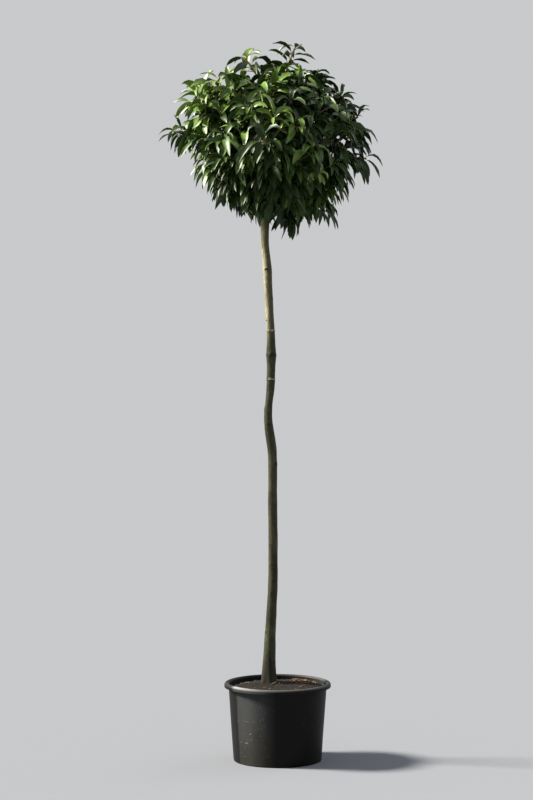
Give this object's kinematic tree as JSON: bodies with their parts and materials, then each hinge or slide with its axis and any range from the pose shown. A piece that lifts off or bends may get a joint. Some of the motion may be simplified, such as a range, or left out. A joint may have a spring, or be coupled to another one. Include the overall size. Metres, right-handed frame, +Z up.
{
  "type": "potted topiary tree",
  "caption": "Standard laurel topiary: a ball of narrow evergreen leaves on a tall clear stem, rooted in the soil of a round tapered plastic nursery pot.",
  "frame": {"origin": "centre of the pot's flat underside", "axes": "+Z up along the stem, -Y the front as the picture shows it, +X to its right"},
  "size_m": [0.7827, 0.747, 2.4137],
  "materials": {
    "pot": "satin",
    "soil": "matte",
    "bark": "matte",
    "leaf": "satin"
  },
  "bodies": {
    "root": {"pot": "pot", "soil": "soil", "trunk": "bark", "bough_top": "bark", "bough_upper_right": "bark", "bough_upper_back": "bark", "bough_upper_left": "bark", "bough_upper_front": "bark", "bough_lower_right": "bark", "bough_lower_back_right": "bark", "bough_lower_back_left": "bark", "bough_lower_left": "bark", "bough_lower_front": "bark", "foliage_top": "leaf", "foliage_upper_right": "leaf", "foliage_upper_back": "leaf", "foliage_upper_left": "leaf", "foliage_upper_front": "leaf", "foliage_lower_right": "leaf", "foliage_lower_back_right": "leaf", "foliage_lower_back_left": "leaf", "foliage_lower_left": "leaf", "foliage_lower_front": "leaf"}
  },
  "joints": []
}
